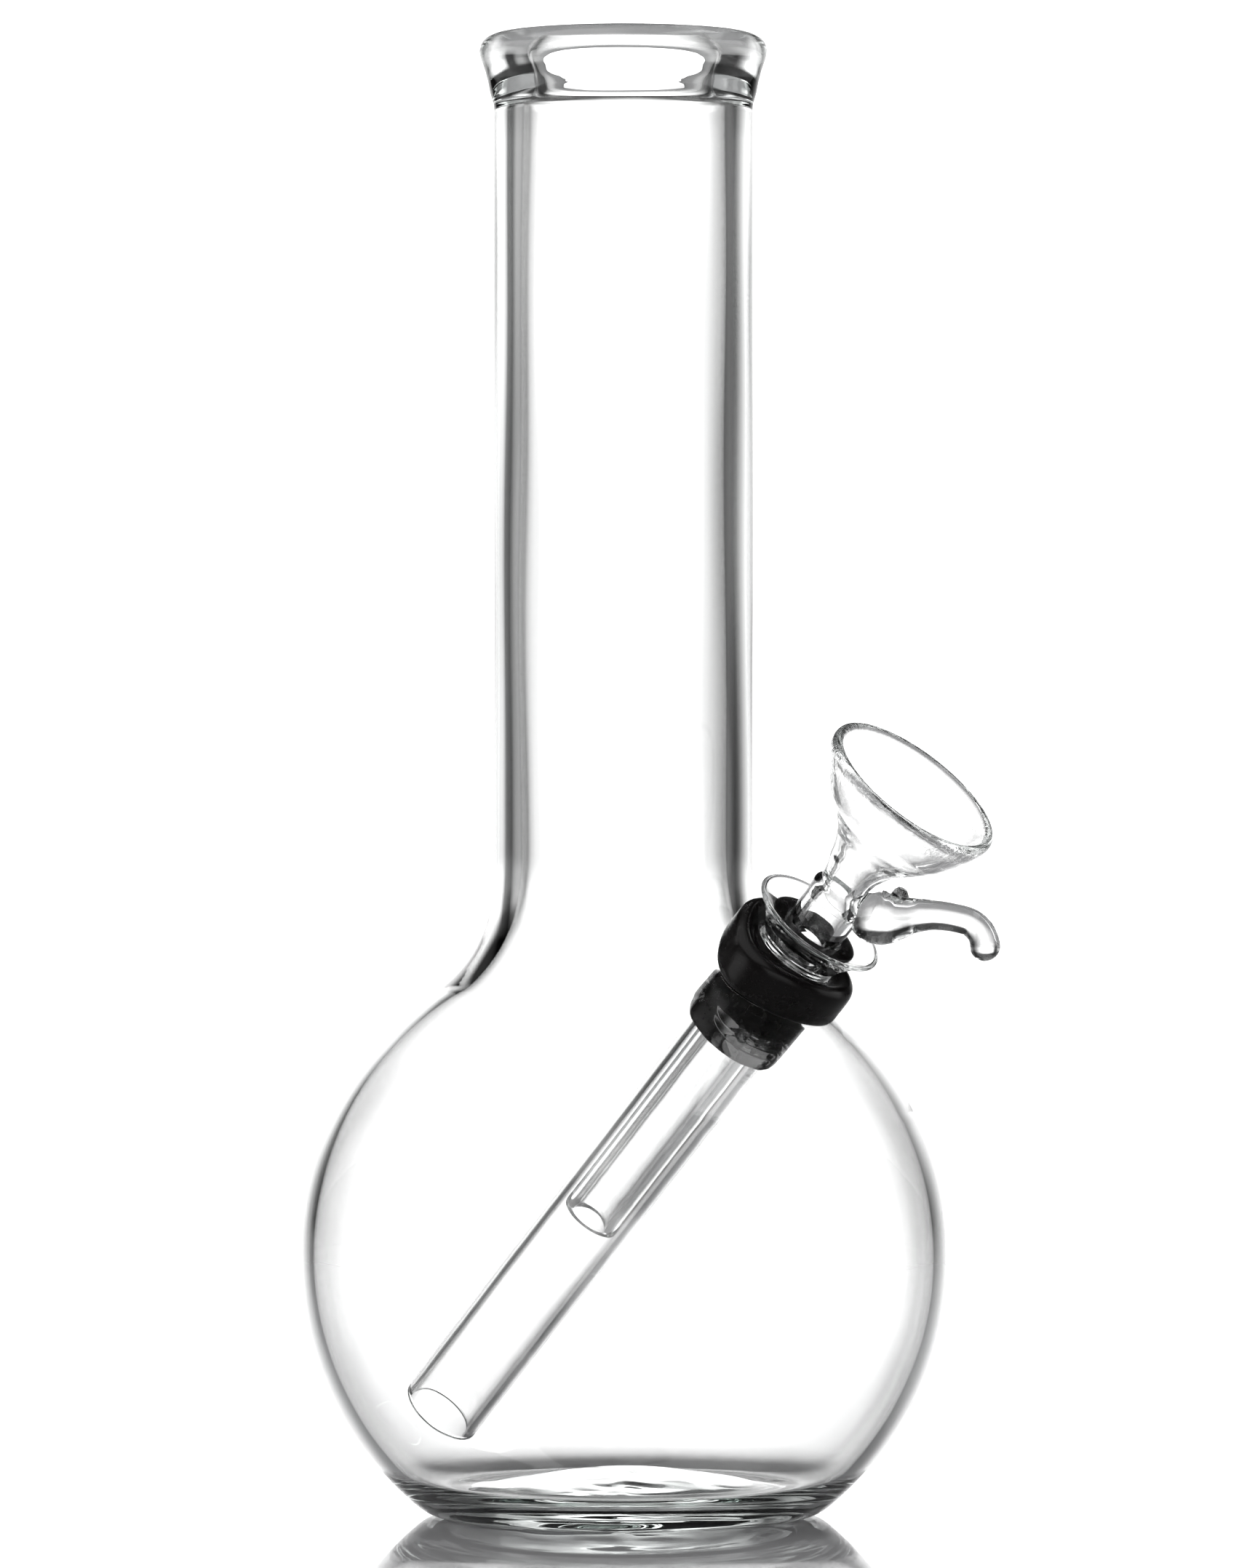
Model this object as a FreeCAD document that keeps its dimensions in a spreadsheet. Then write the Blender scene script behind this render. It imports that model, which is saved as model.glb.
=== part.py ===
"""Clear glass water pipe: a blown flask with a side hole, a rubber grommet that holds a tilted
glass tube, and a pull-out glass bowl that a small rubber ring seals in the tube's flared mouth.

Millimetres, +Z up. The flask stands on z = 0 and its centre line is the Z axis. The side hole
faces +X, and its axis, the port axis, leans from +Z towards +X in the XZ plane. Places along
the port axis are distances from the point where it crosses the flask's centre line.
"""
import FreeCAD, Part
import math
import os

import Sketcher

Vector = FreeCAD.Vector
UP = Vector(0, 0, 1)
FULL_TURN = 360

DIMENSIONS = {
    # flask: neck, lip, bulb and bottom
    "total_height": 217.5,
    "neck_radius": 19.0,
    "neck_wall": 4.0,
    "lip_radius": 21.1,
    "lip_height": 9.6,
    "lip_step": 0.4,
    "bulb_radius": 47.6,
    "bulb_wall": 2.1,
    "bulb_height": 38.3,
    "shoulder_radius": 19.0,
    "base_radius": 26.0,
    "base_thickness": 3.8,
    "base_floor_radius": 25.0,
    # side hole and its axis
    "port_height": 50.0,
    "port_tilt": 42.0,
    "port_radius": 7.5,
    "port_rim_radius": 10.6,
    "port_rim_thickness": 3.5,
    "port_rim_top": 39.1,
    "port_rim_round": 1.2,
    # gap between pieces that turn or slide in each other
    "running_gap": 0.05,
    # rubber grommet
    "flange_radius": 10.3,
    "flange_top": 46.0,
    "flange_round": 1.3,
    "flange_dish": 1.2,
    "skirt_radius": 8.2,
    "skirt_taper": 0.5,
    "skirt_length": 8.0,
    "skirt_round": 1.0,
    "skirt_relief": 0.3,
    # tube through the grommet
    "tube_radius": 6.2,
    "tube_wall": 1.2,
    "tube_bottom": -49.4,
    "mouth_radius": 10.1,
    "flare_bend": 13.0,
    "flare_centre_radius": 17.0,
    "flare_centre_height": 40.6,
    # ring in the flared mouth
    "ring_bottom": 47.0,
    "ring_top": 49.4,
    # pull-out bowl
    "stem_radius": 4.45,
    "stem_bore_radius": 2.7,
    "stem_bottom": -8.6,
    "stem_top": 55.3,
    "stem_corner": 0.7,
    "bowl_neck_radius": 3.6,
    "bowl_neck_top": 57.8,
    "bowl_radius": 14.0,
    "bowl_rim": 75.4,
    "bowl_wall": 1.4,
    "bowl_bend": 12.0,
    "bowl_slope": 41.0,
    "bowl_rim_slope": 19.0,
    # hooked pull on the bowl
    "pull_turn": 26.0,
    "pull_radius": 2.1,
    "pull_rise": 36.0,
    "pull_reach": 15.4,
    "pull_bend_radius": 4.0,
    "pull_drop": 60.0,
    "pull_lump_radius": 3.8,
    "pull_lump_reach": 6.8,
    "pull_lump_height": 56.7,
}

document = FreeCAD.newDocument("water_pipe")
sheet = document.addObject("Spreadsheet::Sheet", "dimensions")


class Size:
    """A number together with the sheet expression it comes from, so a sketch stays bound."""

    def __init__(self, number, formula):
        self.number = number
        self.formula = formula

    @staticmethod
    def of(value):
        if isinstance(value, Size):
            return value
        return Size(float(value), repr(float(value)))

    def combine(self, other, sign, number):
        return Size(number, "(%s %s %s)" % (self.formula, sign, other.formula))

    def __add__(self, other):
        other = Size.of(other)
        return self.combine(other, "+", self.number + other.number)

    def __sub__(self, other):
        other = Size.of(other)
        return self.combine(other, "-", self.number - other.number)

    def __mul__(self, other):
        other = Size.of(other)
        return self.combine(other, "*", self.number * other.number)

    def __truediv__(self, other):
        other = Size.of(other)
        return self.combine(other, "/", self.number / other.number)

    def root(self):
        return Size(math.sqrt(self.number), "sqrt(%s)" % self.formula)

    def sine(self):
        return Size(math.sin(math.radians(self.number)), "sin(%s)" % self.formula)

    def cosine(self):
        return Size(math.cos(math.radians(self.number)), "cos(%s)" % self.formula)


def fill_sheet():
    """Write every driving dimension into the sheet and return them as Sizes by name."""
    sizes = {}
    for row, (name, number) in enumerate(DIMENSIONS.items(), start=1):
        sheet.set("A%d" % row, name)
        sheet.set("B%d" % row, str(number))
        sheet.setAlias("B%d" % row, name)
        sizes[name] = Size(number, "dimensions." + name)
    document.recompute()
    return sizes


SIZES = fill_sheet()


def size(name):
    return SIZES[name]


def origin_plane(body, role):
    for feature in body.Origin.OriginFeatures:
        if feature.Role == role:
            return feature
    raise ValueError("no origin plane " + role)


class Outline:
    """A closed sketch drawn from point to point, with every coordinate bound to the sheet.

    The sketch's x is the distance from the body's axis and its y is the height along it.
    """

    def __init__(self, body, name, first_x, first_y):
        self.sketch = body.newObject("Sketcher::SketchObject", name)
        self.sketch.AttachmentSupport = [(origin_plane(body, "XZ_Plane"), "")]
        self.sketch.MapMode = "FlatFace"
        self.first = (Size.of(first_x), Size.of(first_y))
        self.place = self.first
        self.last_end = None
        self.first_end = None

    def bind(self, kind, references, value):
        """Add a dimension and bind it to the value's formula."""
        index = self.sketch.addConstraint(Sketcher.Constraint(kind, *references, value.number))
        self.sketch.setExpression("Constraints[%d]" % index, value.formula)

    def pin_point(self, geometry, point, place):
        """Hold one end of a line or arc at its place."""
        sheet_x, sheet_y = place
        if abs(sheet_x.number) < 1e-9:
            self.sketch.addConstraint(Sketcher.Constraint("PointOnObject", geometry, point, -2))
        else:
            self.bind("DistanceX", (-1, 1, geometry, point), sheet_x)
        if abs(sheet_y.number) < 1e-9:
            self.sketch.addConstraint(Sketcher.Constraint("PointOnObject", geometry, point, -1))
        else:
            self.bind("DistanceY", (-1, 1, geometry, point), sheet_y)

    def join(self, geometry, start, end, place):
        """Tie the new line or arc to the one before it, and hold its far end."""
        if self.last_end is None:
            self.first_end = (geometry, start)
        else:
            self.sketch.addConstraint(Sketcher.Constraint("Coincident", *self.last_end, geometry, start))
        self.pin_point(geometry, end, place)
        self.last_end = (geometry, end)
        self.place = place

    def line(self, x, y):
        place = (Size.of(x), Size.of(y))
        start = Vector(self.place[0].number, self.place[1].number, 0)
        end = Vector(place[0].number, place[1].number, 0)
        geometry = self.sketch.addGeometry(Part.LineSegment(start, end), False)
        self.join(geometry, 1, 2, place)
        return self

    def arc(self, x, y, radius, turn):
        """A round stretch to the point, turning left (turn 1) or right (turn -1) on the way."""
        place = (Size.of(x), Size.of(y))
        radius = Size.of(radius)
        start = Vector(self.place[0].number, self.place[1].number, 0)
        end = Vector(place[0].number, place[1].number, 0)
        chord = end - start
        sideways = Vector(-chord.y, chord.x, 0).normalize() * turn
        depth = math.sqrt(max(radius.number ** 2 - (chord.Length / 2) ** 2, 0))
        centre = (start + end) * 0.5 + sideways * depth
        first, last = (start, end) if turn > 0 else (end, start)
        first_angle = math.atan2(first.y - centre.y, first.x - centre.x)
        last_angle = math.atan2(last.y - centre.y, last.x - centre.x)
        circle = Part.Circle(centre, UP, radius.number)
        geometry = self.sketch.addGeometry(Part.ArcOfCircle(circle, first_angle, last_angle), False)
        if turn > 0:
            self.join(geometry, 1, 2, place)
        else:
            self.join(geometry, 2, 1, place)
        self.bind("Radius", (geometry,), radius)
        return self

    def open_end(self):
        """Leave the outline open, as the path of a sweep, with its first point held too."""
        self.pin_point(*self.first_end, self.first)
        return self.sketch

    def close(self):
        """Run straight back to the first point."""
        self.line(*self.first)
        self.sketch.addConstraint(Sketcher.Constraint("Coincident", *self.last_end, *self.first_end))
        return self.sketch


def turned(body, kind, name, sketch):
    """Turn a closed outline all the way round the sketch's vertical axis."""
    feature = body.newObject(kind, name)
    feature.Profile = sketch
    feature.ReferenceAxis = (sketch, ["V_Axis"])
    feature.Angle = FULL_TURN
    document.recompute()
    return feature


def add_turned(body, name, sketch):
    return turned(body, "PartDesign::Revolution", name, sketch)


def cut_turned(body, name, sketch):
    """Cut a turned outline, and make sure that it took something away."""
    volume_before = body.Shape.Volume
    feature = turned(body, "PartDesign::Groove", name, sketch)
    if body.Shape.Volume >= volume_before:
        raise RuntimeError(name + " cut nothing")
    return feature


def new_body(name):
    body = document.addObject("PartDesign::Body", name)
    body.Label = name
    return body


def seat_on_port_axis(body, distance):
    """Lean a body built along its own +Z onto the port axis, its origin at the distance."""
    tilt = size("port_tilt")
    base_x = distance * tilt.sine()
    base_z = distance * tilt.cosine() + size("port_height")
    lean = FreeCAD.Rotation(Vector(0, 1, 0), tilt.number)
    body.Placement = FreeCAD.Placement(Vector(base_x.number, 0, base_z.number), lean)
    body.setExpression("Placement.Base.x", base_x.formula)
    body.setExpression("Placement.Base.z", base_z.formula)
    body.setExpression("Placement.Rotation.Angle", tilt.formula)


def shoulder_top(ball_radius, tube_radius, shoulder_radius):
    """Height at which a shoulder arc that is tangent to the ball meets the straight tube."""
    reach = ball_radius + shoulder_radius
    offset = tube_radius + shoulder_radius
    return size("bulb_height") + (reach * reach - offset * offset).root()


def shoulder_foot(ball_radius, tube_radius, shoulder_radius):
    """Point where the same arc meets the ball."""
    share = ball_radius / (ball_radius + shoulder_radius)
    top = shoulder_top(ball_radius, tube_radius, shoulder_radius)
    foot_x = (tube_radius + shoulder_radius) * share
    foot_y = size("bulb_height") + (top - size("bulb_height")) * share
    return foot_x, foot_y


def heel_radius(ball_radius, flat_radius, flat_height):
    """Radius of the arc that joins a flat of the given radius to the ball smoothly."""
    drop = size("bulb_height") - flat_height
    return (ball_radius * ball_radius - flat_radius * flat_radius - drop * drop) / ((ball_radius - drop) * 2)


def heel_top(ball_radius, flat_radius, flat_height):
    """Point where that arc meets the ball."""
    heel = heel_radius(ball_radius, flat_radius, flat_height)
    share = ball_radius / (ball_radius - heel)
    top_x = flat_radius * share
    top_y = size("bulb_height") - (size("bulb_height") - flat_height - heel) * share
    return top_x, top_y


def lean_port_sketch(sketch):
    """Move a sketch's vertical axis onto the port axis."""
    tilt = size("port_tilt")
    lean = FreeCAD.Rotation(Vector(0, 0, -1), tilt.number)
    sketch.AttachmentOffset = FreeCAD.Placement(Vector(0, size("port_height").number, 0), lean)
    sketch.setExpression("AttachmentOffset.Base.y", size("port_height").formula)
    sketch.setExpression("AttachmentOffset.Rotation.Angle", tilt.formula)


def flask_outside(body):
    """The flask as if it were solid: flat bottom, heel, bulb, shoulder, neck and lip."""
    ball = size("bulb_radius")
    neck = size("neck_radius")
    shoulder = size("shoulder_radius")
    roll = (size("lip_radius") - neck + size("neck_wall")) / 2
    roll_middle = size("lip_radius") - roll
    lip_bottom = size("total_height") - size("lip_height")
    foot_x, foot_y = shoulder_foot(ball, neck, shoulder)
    heel_x, heel_y = heel_top(ball, size("base_radius"), Size.of(0))
    outline = Outline(body, "outside_outline", 0, 0)
    outline.line(size("base_radius"), 0)
    outline.arc(heel_x, heel_y, heel_radius(ball, size("base_radius"), Size.of(0)), 1)
    outline.arc(foot_x, foot_y, ball, 1)
    outline.arc(neck, shoulder_top(ball, neck, shoulder), shoulder, -1)
    outline.line(neck, lip_bottom)
    outline.line(neck + size("lip_step"), lip_bottom + size("lip_step"))
    outline.line(size("lip_radius"), size("total_height") - roll)
    outline.arc(roll_middle, size("total_height"), roll, 1)
    outline.line(0, size("total_height"))
    add_turned(body, "outside", outline.close())


def flask_hollow(body):
    """The inside of the bottom, bulb, shoulder and neck, open through the rolled lip."""
    ball = size("bulb_radius") - size("bulb_wall")
    bore = size("neck_radius") - size("neck_wall")
    shoulder = size("shoulder_radius") + size("neck_wall")
    roll = (size("lip_radius") - bore) / 2
    floor_radius = size("base_floor_radius")
    floor_height = size("base_thickness")
    foot_x, foot_y = shoulder_foot(ball, bore, shoulder)
    heel_x, heel_y = heel_top(ball, floor_radius, floor_height)
    outline = Outline(body, "hollow_outline", 0, floor_height)
    outline.line(floor_radius, floor_height)
    outline.arc(heel_x, heel_y, heel_radius(ball, floor_radius, floor_height), 1)
    outline.arc(foot_x, foot_y, ball, 1)
    outline.arc(bore, shoulder_top(ball, bore, shoulder), shoulder, -1)
    outline.line(bore, size("total_height") - roll)
    outline.arc(bore + roll, size("total_height"), roll, -1)
    outline.line(bore + roll, size("total_height") + roll)
    outline.line(0, size("total_height") + roll)
    cut_turned(body, "hollow", outline.close())


def port_rim(body):
    """The thick fire-polished bead round the side hole."""
    hole = size("port_radius")
    outer = size("port_rim_radius")
    top = size("port_rim_top")
    bottom = top - size("port_rim_thickness")
    corner = size("port_rim_round")
    outline = Outline(body, "port_rim_outline", hole, bottom + corner)
    outline.arc(hole + corner, bottom, corner, 1)
    outline.line(outer - corner, bottom)
    outline.arc(outer, bottom + corner, corner, 1)
    outline.line(outer, top - corner)
    outline.arc(outer - corner, top, corner, 1)
    outline.line(hole + corner, top)
    outline.arc(hole, top - corner, corner, 1)
    sketch = outline.close()
    lean_port_sketch(sketch)
    add_turned(body, "port_rim", sketch)


def port_hole(body):
    """The hole through the wall, with room for the grommet's skirt inside and a pressed seat
    for its flange outside."""
    hole = size("port_radius")
    corner = size("port_rim_round")
    thickness = size("port_rim_thickness")
    top = size("port_rim_top")
    bottom = top - thickness
    skirt_room = size("skirt_radius") + size("skirt_relief")
    seat = size("port_rim_radius") + size("skirt_relief")
    deep = bottom - thickness * 2
    high = top + thickness * 3
    outline = Outline(body, "port_hole_outline", 0, deep)
    outline.line(skirt_room, deep)
    outline.line(skirt_room, bottom)
    outline.line(hole + corner, bottom)
    outline.arc(hole, bottom + corner, corner, -1)
    outline.line(hole, top - corner)
    outline.arc(hole + corner, top, corner, -1)
    outline.line(seat, top)
    outline.line(seat, high)
    outline.line(0, high)
    sketch = outline.close()
    lean_port_sketch(sketch)
    cut_turned(body, "port_hole", sketch)


def make_flask():
    body = new_body("flask_body")
    flask_outside(body)
    flask_hollow(body)
    port_rim(body)
    port_hole(body)
    return body


def make_grommet():
    """Rubber grommet: outer flange, groove for the glass rim and rounded skirt inside."""
    body = new_body("grommet")
    gap = size("running_gap")
    bottom = size("port_rim_top") - size("port_rim_thickness") - gap - size("skirt_length")
    bore = size("tube_radius") + gap
    groove = size("port_radius") - gap
    groove_bottom = size("skirt_length")
    groove_top = groove_bottom + size("port_rim_thickness") + gap * 2
    top = size("flange_top") - bottom
    flange = size("flange_radius")
    edge = size("flange_round")
    skirt = size("skirt_radius")
    skirt_end = skirt - size("skirt_taper")
    hem = size("skirt_round")
    outline = Outline(body, "grommet_outline", bore, hem / 4)
    outline.line(bore + hem / 4, 0)
    outline.line(skirt_end - hem, 0)
    outline.arc(skirt_end, hem, hem, 1)
    outline.line(skirt, groove_bottom - hem / 2)
    outline.arc(skirt - hem / 2, groove_bottom, hem / 2, 1)
    outline.line(groove, groove_bottom)
    outline.line(groove, groove_top)
    outline.line(flange - edge, groove_top)
    outline.arc(flange, groove_top + edge, edge, 1)
    outline.line(flange, top - edge)
    outline.line(flange - edge, top)
    outline.line(flange - edge * 1.5, top)
    outline.line(bore, top - size("flange_dish"))
    add_turned(body, "grommet_ring", outline.close())
    seat_on_port_axis(body, bottom)
    return body


def flare_point(bend, distance):
    """Radius of the flared mouth's curve, of the given bend, at a distance along the port axis."""
    rise = distance - size("flare_centre_height")
    return size("flare_centre_radius") - (bend * bend - rise * rise).root()


def flare_foot(bend, tube_radius):
    """Distance along the port axis at which that curve leaves the straight tube."""
    reach = size("flare_centre_radius") - tube_radius
    return size("flare_centre_height") + (bend * bend - reach * reach).root()


def make_downstem():
    """Glass tube with a melted lower end and a flared mouth above the grommet."""
    body = new_body("downstem")
    bottom = size("tube_bottom")
    outer = size("tube_radius")
    wall = size("tube_wall")
    inner = outer - wall
    melt = wall / 2
    inner_bend = size("flare_bend")
    outer_bend = inner_bend - wall
    mouth = size("mouth_radius")
    mouth_height = flare_foot(outer_bend, mouth)
    share = inner_bend / outer_bend
    centre_radius = size("flare_centre_radius")
    centre_height = size("flare_centre_height")
    brim = centre_radius - (centre_radius - mouth) * share
    brim_height = centre_height + (mouth_height - centre_height) * share
    outline = Outline(body, "downstem_outline", inner, melt)
    outline.arc(inner + melt, 0, melt, 1)
    outline.arc(outer, melt, melt, 1)
    outline.line(outer, flare_foot(outer_bend, outer) - bottom)
    outline.arc(mouth, mouth_height - bottom, outer_bend, -1)
    outline.arc(brim, brim_height - bottom, melt * 1.05, 1)
    outline.arc(inner, flare_foot(inner_bend, inner) - bottom, inner_bend, 1)
    add_turned(body, "tube", outline.close())
    seat_on_port_axis(body, bottom)
    return body


def make_slide_seal():
    """Rubber ring that fills the flared mouth round the bowl's stem."""
    body = new_body("slide_seal")
    gap = size("running_gap")
    bottom = size("ring_bottom")
    thickness = size("ring_top") - bottom
    bore = size("stem_radius") + gap
    bend = size("flare_bend") + gap
    edge = thickness / 8
    outline = Outline(body, "seal_outline", bore, 0)
    outline.line(flare_point(bend, bottom), 0)
    outline.arc(flare_point(bend, bottom + thickness - edge), thickness - edge, bend, -1)
    outline.line(flare_point(bend, bottom + thickness - edge) - edge, thickness)
    outline.line(bore + edge, thickness)
    outline.line(bore, thickness - edge)
    add_turned(body, "seal_ring", outline.close())
    seat_on_port_axis(body, bottom)
    return body


def bowl_and_stem(body):
    """The turned part of the pull-out: thin tube, waist and funnel bowl."""
    bottom = size("stem_bottom")
    bore = size("stem_bore_radius")
    stem = size("stem_radius")
    corner = size("stem_corner")
    stem_top = size("stem_top") - bottom
    neck = size("bowl_neck_radius")
    neck_top = size("bowl_neck_top") - bottom
    rim = size("bowl_radius")
    rim_height = size("bowl_rim") - bottom
    wall = size("bowl_wall")
    bend = size("bowl_bend")
    slope = size("bowl_slope")
    rim_slope = size("bowl_rim_slope")
    lower_x = neck + bend
    upper_x = rim - bend * rim_slope.cosine()
    upper_y = rim_height + bend * rim_slope.sine()
    outer = bend + wall
    inner = bend - wall
    outline = Outline(body, "bowl_outline", bore, corner)
    outline.arc(bore + corner, 0, corner, 1)
    outline.line(stem - corner, 0)
    outline.arc(stem, corner, corner, 1)
    outline.line(stem, stem_top - corner)
    outline.arc(stem - corner, stem_top, corner, 1)
    outline.line(neck, stem_top + corner)
    outline.line(neck, neck_top)
    outline.arc(lower_x - bend * slope.cosine(), neck_top + bend * slope.sine(), bend, -1)
    outline.line(upper_x + bend * slope.cosine(), upper_y - bend * slope.sine())
    outline.arc(rim, rim_height, bend, 1)
    outline.arc(upper_x + inner * rim_slope.cosine(), upper_y - inner * rim_slope.sine(), wall * 0.52, 1)
    outline.arc(upper_x + inner * slope.cosine(), upper_y - inner * slope.sine(), inner, -1)
    outline.line(lower_x - outer * slope.cosine(), neck_top + outer * slope.sine())
    outline.arc(neck - wall, neck_top, outer, 1)
    outline.line(neck - wall, stem_top - corner)
    outline.line(bore, stem_top - corner * 2)
    add_turned(body, "bowl_and_stem", outline.close())


def melted_ball(body, name, radius, reach, height):
    """A ball of glass melted on beside the stem, in the plane of the pull."""
    ball = body.newObject("PartDesign::AdditiveSphere", name)
    turn = size("pull_turn")
    middle_x = reach * turn.cosine()
    middle_y = reach * turn.sine()
    ball.Placement = FreeCAD.Placement(Vector(middle_x.number, middle_y.number, height.number),
                                       FreeCAD.Rotation())
    ball.setExpression("Placement.Base.x", middle_x.formula)
    ball.setExpression("Placement.Base.y", middle_y.formula)
    ball.setExpression("Placement.Base.z", height.formula)
    ball.setExpression("Radius", radius.formula)
    document.recompute()
    return ball


def hooked_pull(body):
    """The solid glass rod that rises from its melted root on the stem and hooks over."""
    rod = size("pull_radius")
    rise = size("pull_rise")
    drop = size("pull_drop")
    bend = size("pull_bend_radius")
    root_reach = size("pull_lump_reach")
    root_height = size("pull_lump_height") - size("stem_bottom")
    reach = size("pull_reach")
    height = root_height + (reach - root_reach) * rise.sine() / rise.cosine()
    tip_reach = reach + bend * rise.sine() + bend * drop.sine()
    tip_height = height - bend * rise.cosine() + bend * drop.cosine()
    melted_ball(body, "pull_lump", size("pull_lump_radius"), root_reach, root_height)
    path = Outline(body, "pull_path", root_reach, root_height)
    path.line(reach, height)
    path.arc(tip_reach, tip_height, bend, -1)
    spine = path.open_end()
    turn = size("pull_turn")
    spine.AttachmentOffset = FreeCAD.Placement(Vector(), FreeCAD.Rotation(Vector(0, 1, 0), turn.number))
    spine.setExpression("AttachmentOffset.Rotation.Angle", turn.formula)
    document.recompute()
    section = body.newObject("Sketcher::SketchObject", "pull_section")
    section.AttachmentSupport = [(spine, "Edge1")]
    section.MapMode = "NormalToEdge"
    circle = section.addGeometry(Part.Circle(Vector(), UP, rod.number), False)
    section.addConstraint(Sketcher.Constraint("Coincident", circle, 3, -1, 1))
    index = section.addConstraint(Sketcher.Constraint("Radius", circle, rod.number))
    section.setExpression("Constraints[%d]" % index, rod.formula)
    document.recompute()
    pull = body.newObject("PartDesign::AdditivePipe", "pull_rod")
    pull.Profile = section
    pull.Spine = (spine, ["Edge1", "Edge2"])
    document.recompute()
    melted_ball(body, "pull_tip", rod, tip_reach, tip_height)


def make_bowl_slide():
    body = new_body("bowl_slide")
    bowl_and_stem(body)
    hooked_pull(body)
    seat_on_port_axis(body, size("stem_bottom"))
    return body


def main():
    bodies = [make_flask(), make_grommet(), make_downstem(), make_slide_seal(), make_bowl_slide()]
    document.recompute()
    write_parts(bodies)


def write_parts(bodies):
    """Check every object and write one STEP file for each sub-part."""
    for item in document.Objects:
        if "Invalid" in item.State or "Error" in item.State:
            raise RuntimeError("%s failed: %s" % (item.Name, item.State))
    os.makedirs("parts", exist_ok=True)
    for body in bodies:
        if body.Shape.isNull() or not body.Shape.isValid():
            raise RuntimeError(body.Label + " has no valid shape")
        if len(body.Shape.Solids) != 1:
            raise RuntimeError(body.Label + " is not one solid")
        body.Shape.exportStep("parts/%s.step" % body.Label)
        box = body.Shape.BoundBox
        print(body.Label, "volume %.0f" % body.Shape.Volume, "box", box)


main()
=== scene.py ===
"""Looks of the clear glass water pipe: fused glass surfaces, moulded rubber, bright backdrop."""

import math

import bmesh
import bpy
import numpy as np
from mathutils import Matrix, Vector


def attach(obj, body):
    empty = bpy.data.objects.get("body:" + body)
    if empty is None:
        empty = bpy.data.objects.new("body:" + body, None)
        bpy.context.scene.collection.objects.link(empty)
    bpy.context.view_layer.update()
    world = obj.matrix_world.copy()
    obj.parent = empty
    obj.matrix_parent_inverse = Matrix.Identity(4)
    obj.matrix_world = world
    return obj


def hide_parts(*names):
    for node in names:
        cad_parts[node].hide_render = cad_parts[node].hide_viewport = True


MM = 0.001

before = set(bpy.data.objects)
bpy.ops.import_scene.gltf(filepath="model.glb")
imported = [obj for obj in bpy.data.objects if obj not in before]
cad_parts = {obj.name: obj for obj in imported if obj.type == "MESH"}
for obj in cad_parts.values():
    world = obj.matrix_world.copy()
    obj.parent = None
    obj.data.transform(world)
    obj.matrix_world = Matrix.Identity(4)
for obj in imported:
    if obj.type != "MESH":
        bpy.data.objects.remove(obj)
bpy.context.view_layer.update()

# ---------------------------------------------------------------- the port axis
PORT_TILT = math.radians(42)
PORT_HEIGHT = 50.0
PORT_AXIS = np.array([math.sin(PORT_TILT), 0, math.cos(PORT_TILT)])
PORT_DOWN = np.array([math.cos(PORT_TILT), 0, -math.sin(PORT_TILT)])
PORT_SIDE = np.array([0.0, 1.0, 0.0])
PORT_ORIGIN = np.array([0, 0, PORT_HEIGHT])


def on_port_axis(points):
    """Points given as (down, side, along) the port axis, in millimetres of the shared frame."""
    points = np.asarray(points, float)
    return (PORT_ORIGIN + points[:, :1] * PORT_DOWN + points[:, 1:2] * PORT_SIDE
            + points[:, 2:3] * PORT_AXIS)


# ---------------------------------------------------------------- outlines
def arc(centre, radius, start, end, step):
    """Points of a circular arc from one angle to another, in degrees."""
    count = max(2, int(abs(math.radians(end - start)) * radius / step) + 1)
    angles = np.radians(np.linspace(start, end, count))
    return np.column_stack([centre[0] + radius * np.cos(angles),
                            centre[1] + radius * np.sin(angles)])


def smooth_curve(points, step):
    """A Catmull-Rom curve through the points, sampled at about the step."""
    points = np.asarray(points, float)
    padded = np.vstack([2 * points[0] - points[1], points, 2 * points[-1] - points[-2]])
    pieces = []
    for a, b, c, d in zip(padded, padded[1:], padded[2:], padded[3:]):
        count = max(1, int(round(np.linalg.norm(c - b) / step)))
        t = np.arange(count)[:, None] / count
        pieces.append(0.5 * (2 * b + (c - a) * t + (2 * a - 5 * b + 4 * c - d) * t ** 2
                             + (3 * b - a - 3 * c + d) * t ** 3))
    pieces.append(points[-1:])
    return np.vstack(pieces)


def chain(*runs):
    """Runs of points one after another, with doubled joints dropped."""
    points = np.vstack(runs)
    keep = np.r_[True, np.linalg.norm(np.diff(points, axis=0), axis=1) > 1e-3]
    return points[keep]


def straight(a, b, step):
    """Points along a straight line, both ends included, at about the step."""
    count = max(1, int(round(math.dist(a, b) / step)))
    t = np.linspace(0, 1, count + 1)[:, None]
    return np.array(a) * (1 - t) + np.array(b) * t


# ---------------------------------------------------------------- meshes
def make_object(name, vertices, faces):
    """A smooth-shaded object from vertices in millimetres."""
    mesh = bpy.data.meshes.new(name)
    mesh.from_pydata([tuple(v) for v in np.asarray(vertices) * MM], [], faces)
    shape = bmesh.new()
    shape.from_mesh(mesh)
    bmesh.ops.recalc_face_normals(shape, faces=shape.faces)
    shape.to_mesh(mesh)
    shape.free()
    mesh.shade_smooth()
    piece = bpy.data.objects.new(name, mesh)
    bpy.context.scene.collection.objects.link(piece)
    return piece


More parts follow.
